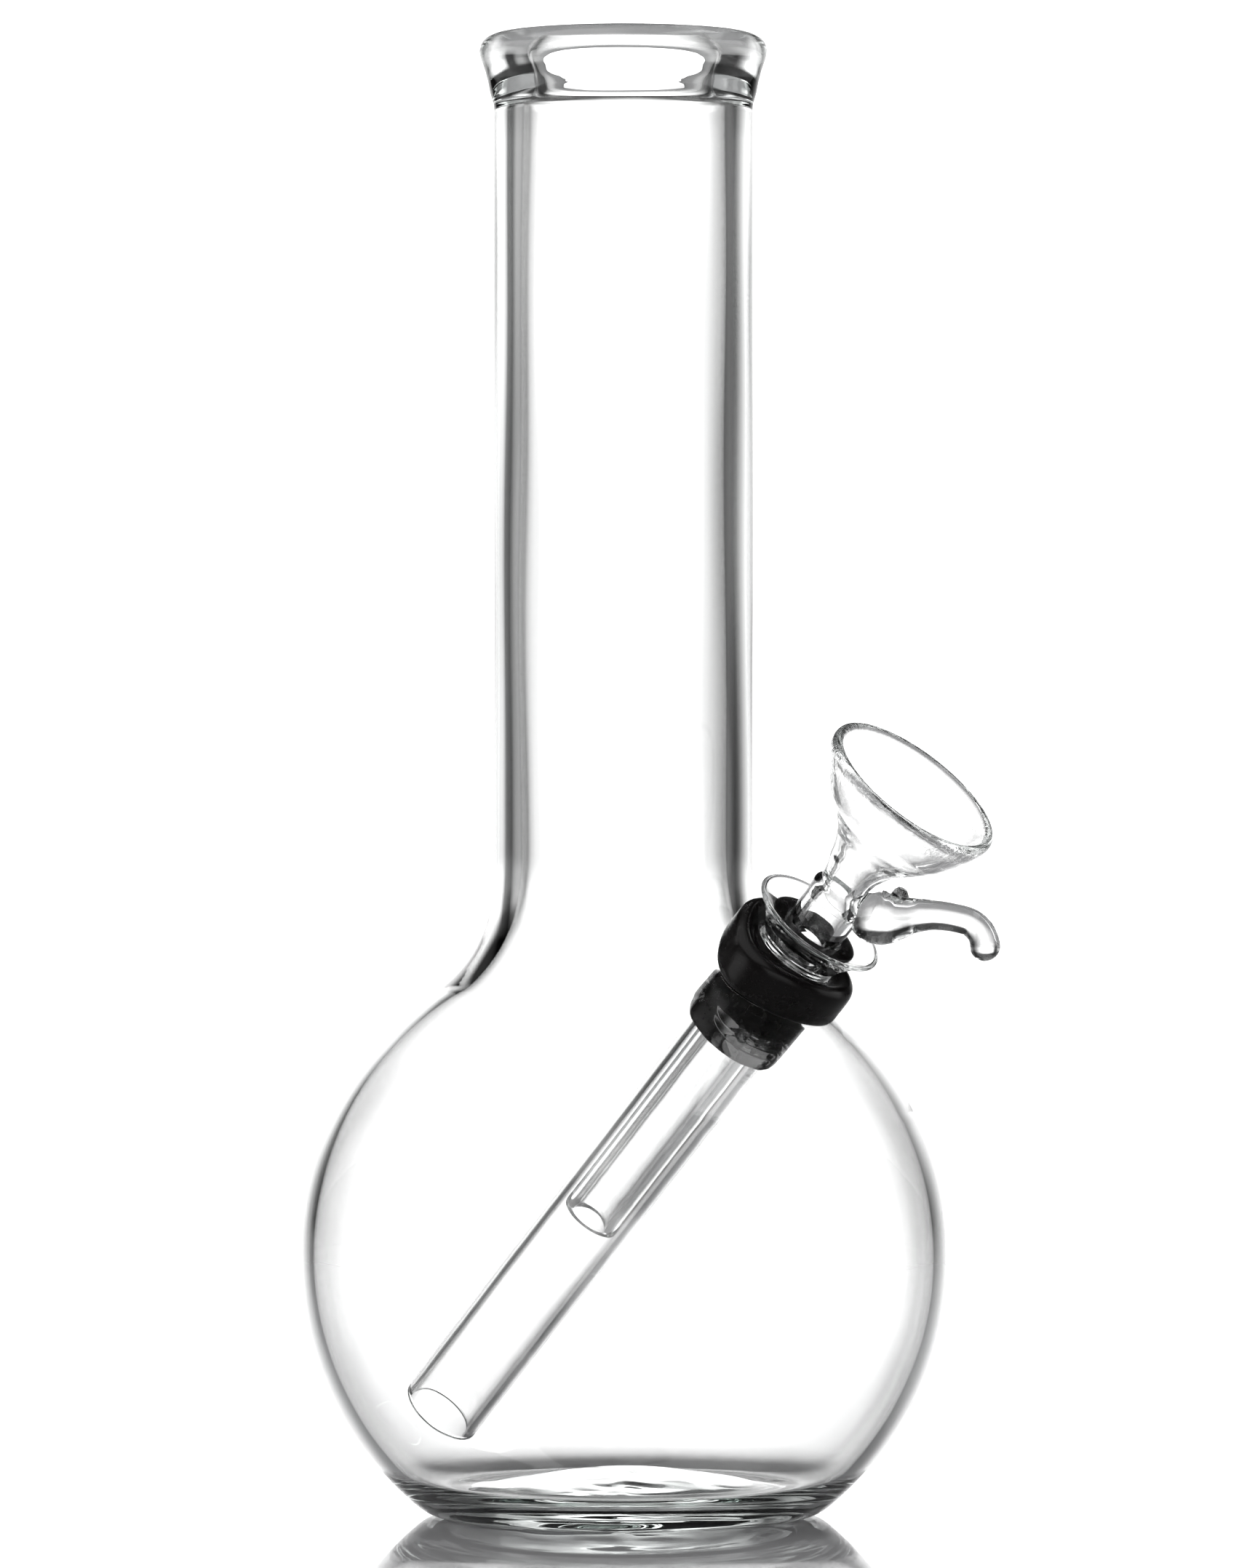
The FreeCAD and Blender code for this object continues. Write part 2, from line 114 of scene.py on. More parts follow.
def turned(profile, segments, closed, wobble=None):
    """Vertices and faces of an outline turned round its own axis. An open outline starts and
    ends on the axis; a closed one is a ring. wobble moves each point by (radius, angle, height)."""
    profile = np.asarray(profile, float)
    angles = np.arange(segments) * 2 * math.pi / segments
    vertices, faces = [], []
    rows = profile if closed else profile[1:-1]
    for radius, height in rows:
        radii = np.full(segments, radius)
        heights = np.full(segments, height)
        if wobble is not None:
            radii, heights = wobble(radii, angles, heights)
        vertices.append(np.column_stack([radii * np.cos(angles), radii * np.sin(angles), heights]))
    vertices = np.vstack(vertices)
    count = len(rows)
    for row in range(count if closed else count - 1):
        here, there = row * segments, (row + 1) % count * segments
        for k in range(segments):
            n = (k + 1) % segments
            faces.append((here + k, here + n, there + n, there + k))
    if not closed:
        first, last = len(vertices), len(vertices) + 1
        vertices = np.vstack([vertices, [[0, 0, profile[0][1]], [0, 0, profile[-1][1]]]])
        end = (count - 1) * segments
        for k in range(segments):
            n = (k + 1) % segments
            faces.append((first, n, k))
            faces.append((last, end + k, end + n))
    return vertices, faces


# ---------------------------------------------------------------- flask
BALL_HEIGHT = 38.3
EASING = 9.0  # length of neck over which the straight wall bends into the shoulder
FLASK_SEGMENTS = 180
NECK_OUTER = 19.0
NECK_INNER = 15.0


def wall_outline(ball, neck, shoulder, flat, flat_height, fineness=1.0):
    """One side of the flask's wall, from the edge of its flat up to where the neck is straight."""
    drop = BALL_HEIGHT - flat_height
    heel = (ball ** 2 - flat ** 2 - drop ** 2) / (2 * (ball - drop))
    offset = neck + shoulder
    top = BALL_HEIGHT + math.sqrt((ball + shoulder) ** 2 - offset ** 2)
    foot = math.degrees(math.atan2(top - BALL_HEIGHT, offset))
    turn = math.degrees(math.atan2(heel - drop, flat))
    half = EASING / 2
    bend_end = 180 + math.degrees(math.asin(half / shoulder))
    bend = arc((offset, top), shoulder, foot + 180, bend_end, 0.9 * fineness)
    gap = EASING ** 2 / (6 * shoulder) - (shoulder - math.sqrt(shoulder ** 2 - half ** 2))
    bend[:, 0] += gap * ((bend[:, 1] - bend[0, 1]) / (bend[-1, 1] - bend[0, 1])) ** 2
    rest = EASING - np.linspace(0, EASING, 15)
    easing = np.column_stack([neck + rest ** 3 / (6 * shoulder * EASING), top + half - rest])
    return chain(arc((flat, flat_height + heel), heel, -90, turn, 1.1 * fineness),
                 arc((0, BALL_HEIGHT), ball, turn, foot, 1.3 * fineness), bend, easing), top + half


NECK_TOP = 205.5
LIP = [(NECK_OUTER, NECK_TOP), (19.0, 206.6), (19.15, 207.4), (19.5, 208.6), (19.85, 210.3),
       (20.35, 212.2), (20.95, 213.9), (21.1, 215.0), (20.75, 216.1), (19.9, 216.9), (18.6, 217.4),
       (17.2, 217.45), (15.9, 216.9), (14.9, 215.8), (14.35, 214.2), (14.25, 212.5), (14.45, 210.6),
       (14.8, 208.6), (15.0, 206.8), (NECK_INNER, NECK_TOP)]

# ball, neck, shoulder and flat radii, and the flat's height
OUTER_SIZES = (47.6, NECK_OUTER, 19.0, 26.0, 0)
INNER_SIZES = (45.5, NECK_INNER, 23.0, 25.0, 3.8)
OUTSIDE, OUTER_TOP = wall_outline(*OUTER_SIZES)
INSIDE, INNER_TOP = wall_outline(*INNER_SIZES)
FINENESS = 0.04
FINE_TOP = 150
FINE = {"outer": np.vstack([wall_outline(*OUTER_SIZES, FINENESS)[0], [[NECK_OUTER, FINE_TOP]]]),
        "inner": np.vstack([wall_outline(*INNER_SIZES, FINENESS)[0], [[NECK_INNER, FINE_TOP]]])}


def wall_along(side, reach, turn):
    """Distance along the port axis at which a line beside it meets one surface of the wall."""
    base = on_port_axis([(reach * math.cos(turn), reach * math.sin(turn), 0)])[0]
    interval = 0.25
    distances = np.arange(20, 60, interval)
    points = base + distances[:, None] * PORT_AXIS
    wall = FINE[side]
    beyond = np.hypot(points[:, 0], points[:, 1]) - np.interp(points[:, 2], wall[:, 1], wall[:, 0])
    step = int(np.argmax((beyond[:-1] < 0) & (beyond[1:] >= 0)))
    return distances[step] + interval * beyond[step] / (beyond[step] - beyond[step + 1])


def flask_outline():
    """The whole wall's outline: under the bottom, up outside, over the lip, down inside, floor."""
    under = smooth_curve([(0, 1.3), (5, 1.25), (10, 1.0), (15, 0.5), (19, 0.12), (22, 0.02),
                          (24, 0.0), (25, 0.0), (26, 0.0)], 0.8)
    floor = smooth_curve([(25.0, 3.8), (23, 3.88), (20.5, 4.2), (17.5, 4.85), (14, 5.5), (10, 6.0),
                          (5, 6.3), (0, 6.4)], 0.8)
    return chain(under, OUTSIDE, straight((NECK_OUTER, OUTER_TOP), (NECK_OUTER, NECK_TOP), 4),
                 smooth_curve(LIP, 0.45),
                 straight((NECK_INNER, NECK_TOP), (NECK_INNER, INNER_TOP), 4), INSIDE[::-1], floor)


def blown(radii, angles, heights):
    """The slow waves of a hand-blown wall, and the swirl in its bottom."""
    wave = (0.05 * np.sin(2 * angles + 0.03 * heights + 0.6)
            + 0.035 * np.sin(3 * angles - 0.045 * heights)
            + 0.02 * np.sin(5 * angles + 0.11 * heights + 2.0))
    inner = np.clip((18.0 - radii) / 2.5, 0, 1)
    swirl = 0.1 * np.sin(2 * angles + 0.28 * radii) + 0.07 * np.sin(3 * angles - 0.42 * radii + 1.0)
    swirl = swirl * np.clip(radii / 5, 0, 1) * np.clip((24 - radii) / 6, 0, 1) * (heights < 8)
    rise = swirl * np.where(heights > 2.5, 1.0, -0.5)
    radii = radii + wave * (1.0 - 1.9 * inner * (heights > 60)) * np.clip(radii / 15, 0, 1)
    return radii, heights + rise


# The port's patch: a block of the turned grid is taken out and rings are laid in its place.
BLOCK_COLUMNS = 22
BLOCK_ROWS = 20
PORT_RINGS = 12
PORT_EDGE = 13.0
PORT_BORE = 7.5
BEAD_POINTS = 47


def make_flask():
    """The flask as one continuous surface: a turned wall with a patch round the side hole."""
    outline = flask_outline()
    vertices, faces = turned(outline, FLASK_SEGMENTS, False, blown)
    vertices = list(vertices)
    split = int(np.argmax(outline[:, 1]))
    rows = outline[1:-1]

    lengths = np.r_[0, np.cumsum(np.linalg.norm(np.diff(rows, axis=0), axis=1))]

    def block(side):
        """The grid vertices round the patch that the port takes out of this side."""
        span = range(0, split) if side == "outer" else range(split, len(rows))
        index = np.array([i for i in span if 45 < rows[i][1] < 130])
        centre_height = (PORT_ORIGIN + PORT_AXIS * wall_along(side, 0.01, 0))[2]
        middle = index[int(np.argmin(np.abs(rows[index, 1] - centre_height)))]
        step = 1 if rows[middle + 1][1] > rows[middle][1] else -1

        def row(n):
            return middle + step * n

        columns = list(range(-BLOCK_COLUMNS, BLOCK_COLUMNS + 1))
        heights = list(range(-BLOCK_ROWS, BLOCK_ROWS + 1))
        loop = ([(heights[0], c) for c in columns]
                + [(n, BLOCK_COLUMNS) for n in heights[1:]]
                + [(BLOCK_ROWS, c) for c in columns[-2::-1]]
                + [(n, -BLOCK_COLUMNS) for n in heights[-2:0:-1]])
        inside = {(row(n), c % FLASK_SEGMENTS) for n in heights[:-1] for c in columns[:-1]}
        if step < 0:
            inside = {(r - 1, c) for r, c in inside}
        ids = [row(n) * FLASK_SEGMENTS + c % FLASK_SEGMENTS for n, c in loop]
        places = [(c * 2 * math.pi / FLASK_SEGMENTS, step * (lengths[row(n)] - lengths[middle]))
                  for n, c in loop]
        return ids, np.array(places), inside, middle

    removed = set()
    patches = {}
    for side in ("outer", "inner"):
        ids, places, inside, middle = block(side)
        removed |= inside
        width = rows[middle][0]
        patches[side] = (ids, places, middle)
        if side == "outer":
            turns = np.arctan2(places[:, 0] * width, -places[:, 1])
    kept = [f for i, f in enumerate(faces)
            if (i // FLASK_SEGMENTS, i % FLASK_SEGMENTS) not in removed
            or i >= (len(rows) - 1) * FLASK_SEGMENTS]

    def lay_rings(side):
        """Rings of vertices from the block's edge in to the port's edge, on the wall."""
        ids, places, middle = patches[side]
        wall = FINE[side]
        travel = np.r_[0, np.cumsum(np.linalg.norm(np.diff(wall, axis=0), axis=1))]
        travel -= np.interp(rows[middle][1], wall[:, 1], travel)
        edge = []
        for turn in turns:
            along = wall_along(side, PORT_EDGE, turn)
            point = on_port_axis(
                [(PORT_EDGE * math.cos(turn), PORT_EDGE * math.sin(turn), along)])[0]
            edge.append((math.atan2(point[1], point[0]), np.interp(point[2], wall[:, 1], travel)))
        edge = np.array(edge)
        rings = [list(ids)]
        for ring in range(1, PORT_RINGS + 1):
            share = ring / PORT_RINGS
            place = places * (1 - share) + edge * share
            radius = np.interp(place[:, 1], travel, wall[:, 0])
            height = np.interp(place[:, 1], travel, wall[:, 1])
            radius, height = blown(radius, place[:, 0], height)
            first = len(vertices)
            for angle, r, z in zip(place[:, 0], radius, height):
                vertices.append(np.array([r * math.cos(angle), r * math.sin(angle), z]))
            rings.append(list(range(first, first + len(ids))))
        return rings

    outer_rings = lay_rings("outer")
    inner_rings = lay_rings("inner")
    bead = []
    for turn in turns:
        reaches = np.linspace(PORT_EDGE, 8.9, 9)
        outside = [(r, wall_along("outer", r, turn)) for r in reaches]
        inside = [(r, wall_along("inner", r, turn)) for r in reaches]
        top, low = outside[-1][1], inside[-1][1]
        edge = [(8.3, top - 0.15), (7.7, top - 0.6), (PORT_BORE, top - 1.3), (PORT_BORE, low + 1.3),
                (7.7, low + 0.6), (8.3, low + 0.15)]
        dense = smooth_curve(outside + edge + inside[::-1], 0.25)
        gone = np.r_[0, np.cumsum(np.linalg.norm(np.diff(dense, axis=0), axis=1))]
        even = np.linspace(0, gone[-1], BEAD_POINTS)
        bead.append(np.column_stack([np.interp(even, gone, dense[:, axis]) for axis in (0, 1)]))
    rings = list(outer_rings)
    for step in range(1, BEAD_POINTS - 1):
        first = len(vertices)
        for k, turn in enumerate(turns):
            reach, along = bead[k][step]
            point = on_port_axis([(reach * math.cos(turn), reach * math.sin(turn), along)])[0]
            angle = math.atan2(point[1], point[0])
            radius, height = blown(math.hypot(point[0], point[1]), angle, point[2])
            vertices.append(np.array([radius * math.cos(angle), radius * math.sin(angle), height]))
        rings.append(list(range(first, first + len(turns))))
    rings += inner_rings[::-1]
    for here, there in zip(rings, rings[1:]):
        for k in range(len(turns)):
            n = (k + 1) % len(turns)
            kept.append((here[k], here[n], there[n], there[k]))
    used = sorted({i for f in kept for i in f})
    renumber = {old: new for new, old in enumerate(used)}
    kept = [tuple(renumber[i] for i in f) for f in kept]
    return make_object("flask_glass", np.array([vertices[i] for i in used]), kept)


# ---------------------------------------------------------------- tube through the grommet
FLARE_CENTRE = (17.0, 40.6)
FLARE_BEND = 11.8
SEAL_BEND = 13.05  # the arc just inside the flare's wall that the seal's side follows
TUBE_OUTER = 6.2
TUBE_INNER = 5.0


def make_tube():
    """A tube with a fire-polished lower end and a flared mouth whose wall thins to its rim."""
    end = [(5.0, -48.9), (5.05, -49.2), (5.35, -49.4), (5.85, -49.4), (6.15, -49.15), (6.2, -48.6),
           (TUBE_OUTER, -47)]
    outer = arc(FLARE_CENTRE, FLARE_BEND, 155.5, 125.8, 0.5)
    bend = FLARE_BEND + np.linspace(0.72, 1.2, 40)
    turns = np.radians(np.linspace(126.5, 157.4, 40))
    inner = np.column_stack([FLARE_CENTRE[0] + bend * np.cos(turns),
                             FLARE_CENTRE[1] + bend * np.sin(turns)])
    outline = chain(smooth_curve(end, 0.15),
                    straight((TUBE_OUTER, -47), (TUBE_OUTER, outer[0][1]), 5), outer,
                    smooth_curve([outer[-1], (10.22, 50.5), (10.02, 50.75), inner[0]], 0.12), inner,
                    straight((TUBE_INNER, inner[-1][1]), (TUBE_INNER, -47), 5))

    def bent(radii, angles, heights):
        """Drawn tube is never quite round or straight."""
        return (radii + 0.03 * np.sin(2 * angles + heights * 0.06)
                + 0.015 * np.sin(3 * angles + heights * 0.13)), heights

    vertices, faces = turned(outline, 128, True, bent)
    return make_object("tube_glass", on_port_axis(vertices), faces)


# ---------------------------------------------------------------- bowl with its pull
PULL_TURN = math.radians(26)


def bowl_outline():
    """Up the outside of the stem and funnel, over the rim and down inside."""
    stem = [(2.7, -7.9), (2.85, -8.35), (3.3, -8.6), (3.9, -8.6), (4.3, -8.35), (4.45, -7.9),
            (4.45, -6)]
    waist = [(4.42, 53.0), (4.46, 54.2), (4.6, 55.0), (4.62, 55.7), (4.4, 56.3), (4.0, 56.8),
             (3.7, 57.2), (3.6, 57.7), (3.62, 58.3), (3.75, 59.2)]
    funnel = [(4.15, 60.5), (4.6, 61.8), (5.3, 63.3), (6.5, 65.0), (7.7, 66.4), (9.0, 67.9),
              (10.6, 69.4), (11.7, 70.8), (12.6, 72.3), (13.4, 73.9), (13.8, 74.9), (13.85, 75.7),
              (13.5, 76.3), (12.9, 76.35), (12.3, 75.9), (11.9, 75.0), (11.2, 73.2), (9.9, 71.0),
              (8.0, 68.7), (6.0, 66.5), (4.2, 64.5), (2.9, 62.3), (2.3, 60.0), (2.1, 58.4),
              (2.1, 57.4)]
    bore = [(2.1, 57.4), (2.2, 56.8), (2.4, 56.2), (2.6, 55.4), (2.7, 54.4), (2.7, 53)]
    return chain(smooth_curve(stem, 0.2), straight(stem[-1], waist[0], 3),
                 smooth_curve(waist, 0.15), smooth_curve([waist[-1]] + funnel, 0.35),
                 smooth_curve(bore, 0.15), straight(bore[-1], (2.7, -6), 3))


def melted(radii, angles, heights):
    """The funnel was melted on a little off the stem's centre, away from the pull."""
    lean = np.interp(heights, [55.5, 58, 60.5, 63, 65, 67.5, 70, 75],
                     [0, 0.7, 1.0, 0.75, 0.35, 0.2, 0.75, 1.15])
    sag = 0.1 * np.sin(3 * angles + 0.8 + heights * 0.3)
    sag = sag * np.interp(heights, [56, 60, 70, 76], [0, 1, 1, 0.4])
    return radii - lean * np.cos(angles - PULL_TURN) + sag, heights


def tube_along(path, radii, around):
    """A closed rod along a path with its own radius at each point and round ends."""
    path = np.asarray(path, float)
    tangent = np.gradient(path, axis=0)
    tangent /= np.linalg.norm(tangent, axis=1)[:, None]
    side = np.cross(tangent[0], PORT_SIDE + 0.01)
    side /= np.linalg.norm(side)
    vertices, faces = [], []
    angles = np.arange(around) * 2 * math.pi / around
    for point, along, radius in zip(path, tangent, radii):
        side = side - along * (side @ along)
        side /= np.linalg.norm(side)
        up = np.cross(along, side)
        ring = np.cos(angles)[:, None] * side + np.sin(angles)[:, None] * up
        vertices.append(point + radius * ring)
    count = len(path)
    vertices = np.vstack(vertices)
    for row in range(count - 1):
        for k in range(around):
            n = (k + 1) % around
            here, there = row * around, (row + 1) * around
            faces.append((here + k, here + n, there + n, there + k))
    vertices = np.vstack([vertices, path[:1], path[-1:]])
    for k in range(around):
        n = (k + 1) % around
        faces.append((count * around, n, k))
        faces.append((count * around + 1, (count - 1) * around + k, (count - 1) * around + n))
    return vertices, faces


def pull_rod():
    """The hooked pull: a melted root on the stem, a rod that rises and a drooping tip."""
    # distance from the bowl's axis, height along it, radius of the rod
    stations = [(3.0, 56.2, 2.4), (4.2, 56.2, 3.4), (5.6, 56.4, 4.0), (7.0, 57.1, 3.95),
                (8.5, 58.4, 3.3), (10.1, 60.1, 2.55), (12.3, 62.0, 2.15), (14.7, 63.5, 2.05),
                (17.0, 64.5, 2.05), (18.9, 64.4, 2.1), (20.3, 63.6, 2.15), (20.9, 63.0, 2.2)]
    dense = smooth_curve([(r, s) for r, s, _ in stations], 0.4)
    gone = np.r_[0, np.cumsum(np.linalg.norm(np.diff(dense, axis=0), axis=1))]
    marks = np.r_[0, np.cumsum([math.dist(a[:2], b[:2]) for a, b in zip(stations, stations[1:])])]
    marks = marks * gone[-1] / marks[-1]
    radii = np.interp(gone, marks, [r for _, _, r in stations])
    tip = np.linspace(0, 1, 9)[1:] * math.pi / 2
    ahead = dense[-1] - dense[-2]
    ahead /= np.linalg.norm(ahead)
    start = (dense[1] - dense[0]) / np.linalg.norm(dense[1] - dense[0])
    cap = dense[-1] + np.outer(np.sin(tip) * radii[-1], ahead)
    root = dense[0] - np.outer(np.sin(tip[::-1]) * radii[0], start)
    path = np.vstack([root, dense, cap])
    radii = np.r_[radii[0] * np.cos(tip[::-1]) + 0.02, radii, radii[-1] * np.cos(tip) + 0.02]
    along = np.column_stack([path[:, 0] * math.cos(PULL_TURN), path[:, 0] * math.sin(PULL_TURN),
                             path[:, 1]])
    return tube_along(along, radii, 32)


def melt_on(piece, name, vertices, faces):
    """A rod joined to the piece as one solid."""
    rod = make_object(name, on_port_axis(vertices), faces)
    join = piece.modifiers.new("join", "BOOLEAN")
    join.operation = "UNION"
    join.solver = "EXACT"
    join.object = rod
    graph = bpy.context.evaluated_depsgraph_get()
    mesh = bpy.data.meshes.new_from_object(piece.evaluated_get(graph), depsgraph=graph)
    piece.modifiers.clear()
    piece.data = mesh
    bpy.data.objects.remove(rod)


def make_bowl():
    """Stem, funnel, hooked pull and the small nub above its root, melted into one piece."""
    vertices, faces = turned(bowl_outline(), 96, True, melted)
    bowl = make_object("bowl_glass", on_port_axis(vertices), faces)
    melt_on(bowl, "pull_tool", *pull_rod())
    rise = np.linspace(0, 1, 9)[:, None]
    reach = 7.2 - 0.6 * rise
    nub = np.hstack([reach * math.cos(PULL_TURN), reach * math.sin(PULL_TURN), 58.6 + 3.7 * rise])
    nub_radii = np.interp(rise[:, 0], [0, 0.6, 0.9, 1], [1.9, 1.45, 1.2, 0.8])
    melt_on(bowl, "nub_tool", *tube_along(nub, nub_radii, 7))
    bowl.data.shade_smooth()
    bowl.data.set_sharp_from_angle(angle=math.radians(60))
    return bowl


# ---------------------------------------------------------------- rubber
GROMMET_SEGMENTS = 160
GROMMET_BOTTOM = 27.55
RIM_TOP = 39.1
RIM_BOTTOM = 35.6
# radius, and height above the grommet's bottom
GROMMET = [(6.3, 0.5), (6.6, 0.1), (7.1, 0.02), (7.45, 0.35), (7.6, 1.2), (7.7, 3), (7.75, 5),
           (7.8, 6.2), (7.8, 7.2), (7.65, 7.8), (7.48, 8.1), (7.44, 8.6), (7.44, 11.0),
           (7.6, 11.45), (8.2, 11.55), (9.2, 11.62), (9.9, 11.9), (10.25, 12.6), (10.3, 14.0),
           (10.28, 16.2), (10.1, 17.2), (9.6, 17.9), (8.9, 18.3), (8.2, 18.15), (7.3, 17.6),
           (6.5, 17.1), (6.28, 16.6), (6.26, 14), (6.26, 8), (6.26, 3), (6.26, 0.9), (6.3, 0.5)]


def make_grommet():
    """Skirt inside, waist in the hole and flange outside, bedded on the curved glass."""
    outline = [(radius, GROMMET_BOTTOM + height) for radius, height in GROMMET]
    around = np.arange(GROMMET_SEGMENTS) * 2 * math.pi / GROMMET_SEGMENTS
    hole, rest, edge = 7.5, 9.0, 10.3
    under = np.array([[wall_along("outer", r, a) - RIM_TOP for a in around]
                      for r in (hole, rest, edge)])
    within = np.array([wall_along("inner", 7.8, a) - RIM_BOTTOM for a in around])

    def moulded(radii, angles, heights):
        """The soft rubber lies on the curved wall: the flange's underside and top follow it."""
        reach = radii[0]
        outside = np.clip((reach - 6.6) / 1.0, 0, 1)
        ribs = 0.09 * np.cos(9 * angles + 0.4) * (heights < GROMMET_BOTTOM + 7.5)
        dents = 0.1 * np.sin(4 * angles + 1.0) * (heights > GROMMET_BOTTOM + 12)
        share = np.clip((reach - hole) / 1.5, 0, 1)
        far = np.clip((reach - rest) / 1.3, 0, 1)
        lower = (under[0] * (1 - share) + under[1] * share) * (1 - far) + under[2] * far
        lower = np.where(lower < 0, 0.85 * lower, lower)
        upper = 0.75 * under[1]
        height = heights[0] - GROMMET_BOTTOM
        skirt = np.interp(height, [1, 7], [0, 1])
        flange = np.interp(height, [8.2, 11.3], [0, 1])
        crown = np.interp(height, [11.8, 17.5], [0, 1])
        moved = within * skirt * (1 - flange) + flange * (lower * (1 - crown) + upper * crown)
        return radii + outside * (ribs + dents), heights + outside * moved

    vertices, faces = turned(smooth_curve(outline, 0.3)[:-1], GROMMET_SEGMENTS, True, moulded)
    return make_object("grommet_rubber_ring", on_port_axis(vertices), faces)


def make_seal():
    """A small ring whose side follows the inside of the tube's flare."""
    def side(height):
        return FLARE_CENTRE[0] - math.sqrt(SEAL_BEND ** 2 - (height - FLARE_CENTRE[1]) ** 2)

    outline = [(4.52, 47.2), (4.8, 47.0), (side(47.05) - 0.25, 47.02), (side(47.3) - 0.02, 47.3),
               (side(48.1) - 0.02, 48.1), (side(49.0) - 0.04, 49.0), (side(49.1) - 0.3, 49.32),
               (side(49.1) - 0.8, 49.4), (5.0, 49.4), (4.6, 49.3), (4.52, 49.0), (4.52, 48.1),
               (4.52, 47.2)]
    vertices, faces = turned(smooth_curve(outline, 0.15)[:-1], 96, True)
    return make_object("seal_rubber_ring", on_port_axis(vertices), faces)


# ---------------------------------------------------------------- materials
def new_material(name):
    """A material with an empty node tree, its nodes and its links."""
    material = bpy.data.materials.new(name)
    material.use_nodes = True
    material.node_tree.nodes.clear()
    return material, material.node_tree.nodes, material.node_tree.links


def smooth_ramp(nodes, links, value, low, high, at_low, at_high):
    """A number that goes smoothly from at_low to at_high as the value goes from low to high."""
    node = nodes.new("ShaderNodeMapRange")
    node.interpolation_type = "SMOOTHSTEP"
    links.new(value, node.inputs["Value"])
    for name, number in (("From Min", low), ("From Max", high),
                         ("To Min", at_low), ("To Max", at_high)):
        node.inputs[name].default_value = number
    return node.outputs[0]


def math_node(nodes, links, operation, *values):
    """A math node on numbers or on the outputs of other nodes."""
    node = nodes.new("ShaderNodeMath")
    node.operation = operation
    for slot, value in enumerate(values):
        if isinstance(value, (int, float)):
            node.inputs[slot].default_value = value
        else:
            links.new(value, node.inputs[slot])
    return node.outputs[0]


def dot_node(nodes, links, source, vector):
    """The part of a vector that lies along another one."""
    node = nodes.new("ShaderNodeVectorMath")
    node.operation = "DOT_PRODUCT"
    links.new(source, node.inputs[0])
    node.inputs[1].default_value = vector
    return node.outputs["Value"]


def glass_material(name, tint, ripple, ripple_size, stretch=1.0):
    """Clear glass with faint ripples, ripple high and ripple_size wide in millimetres."""
    material, nodes, links = new_material(name)
    output = nodes.new("ShaderNodeOutputMaterial")
    surface = nodes.new("ShaderNodeBsdfPrincipled")
    surface.inputs["Base Color"].default_value = (1, 1, 1, 1)
    surface.inputs["Roughness"].default_value = 0
    surface.inputs["IOR"].default_value = 1.47
    surface.inputs["Transmission Weight"].default_value = 1
    links.new(surface.outputs[0], output.inputs["Surface"])
    coordinates = nodes.new("ShaderNodeTexCoord")
    noise = nodes.new("ShaderNodeTexNoise")
    noise.inputs["Scale"].default_value = 1 / (ripple_size * MM)
    noise.inputs["Detail"].default_value = 1.5
    drawn = nodes.new("ShaderNodeMapping")
    drawn.inputs["Scale"].default_value = (1, 1, 1 / stretch)
    links.new(coordinates.outputs["Object"], drawn.inputs["Vector"])
    links.new(drawn.outputs["Vector"], noise.inputs["Vector"])
    bump = nodes.new("ShaderNodeBump")
    bump.inputs["Strength"].default_value = 1
    bump.inputs["Distance"].default_value = ripple * MM
    links.new(noise.outputs["Fac"], bump.inputs["Height"])
    links.new(bump.outputs[0], surface.inputs["Normal"])
    absorb = nodes.new("ShaderNodeVolumeAbsorption")
    absorb.inputs["Color"].default_value = tint + (1,)
    absorb.inputs["Density"].default_value = 6.0
    links.new(absorb.outputs[0], output.inputs["Volume"])
    return material


def ground_band(material):
    """A band of ground, speckled glass just under the bowl's rim."""
    nodes, links = material.node_tree.nodes, material.node_tree.links
    surface = next(node for node in nodes if node.type == "BSDF_PRINCIPLED")
    bump = next(node for node in nodes if node.type == "BUMP")
    coordinates = next(node for node in nodes if node.type == "TEX_COORD")
    along = dot_node(nodes, links, coordinates.outputs["Object"], PORT_AXIS)
    speckle = nodes.new("ShaderNodeTexNoise")
    speckle.inputs["Scale"].default_value = 1 / (0.8 * MM)
    speckle.inputs["Detail"].default_value = 2
    links.new(coordinates.outputs["Object"], speckle.inputs["Vector"])
    origin = PORT_HEIGHT * PORT_AXIS[2]
    start = smooth_ramp(nodes, links, along, (origin + 72.4) * MM, (origin + 73.4) * MM, 0, 1)
    end = smooth_ramp(nodes, links, along, (origin + 74.6) * MM, (origin + 75.4) * MM, 1, 0)
    spots = smooth_ramp(nodes, links, speckle.outputs["Fac"], 0.42, 0.62, 0, 1)
    band = math_node(nodes, links, "MULTIPLY", start, end)
    grit = math_node(nodes, links, "MULTIPLY", band, spots)
    rough = math_node(nodes, links, "MULTIPLY", grit, 0.12)
    links.new(rough, surface.inputs["Roughness"])
    pits = nodes.new("ShaderNodeBump")
    pits.inputs["Strength"].default_value = 1
    pits.inputs["Distance"].default_value = 0.012 * MM
    links.new(grit, pits.inputs["Height"])
    links.new(bump.outputs[0], pits.inputs["Normal"])
    links.new(pits.outputs[0], surface.inputs["Normal"])
    return material


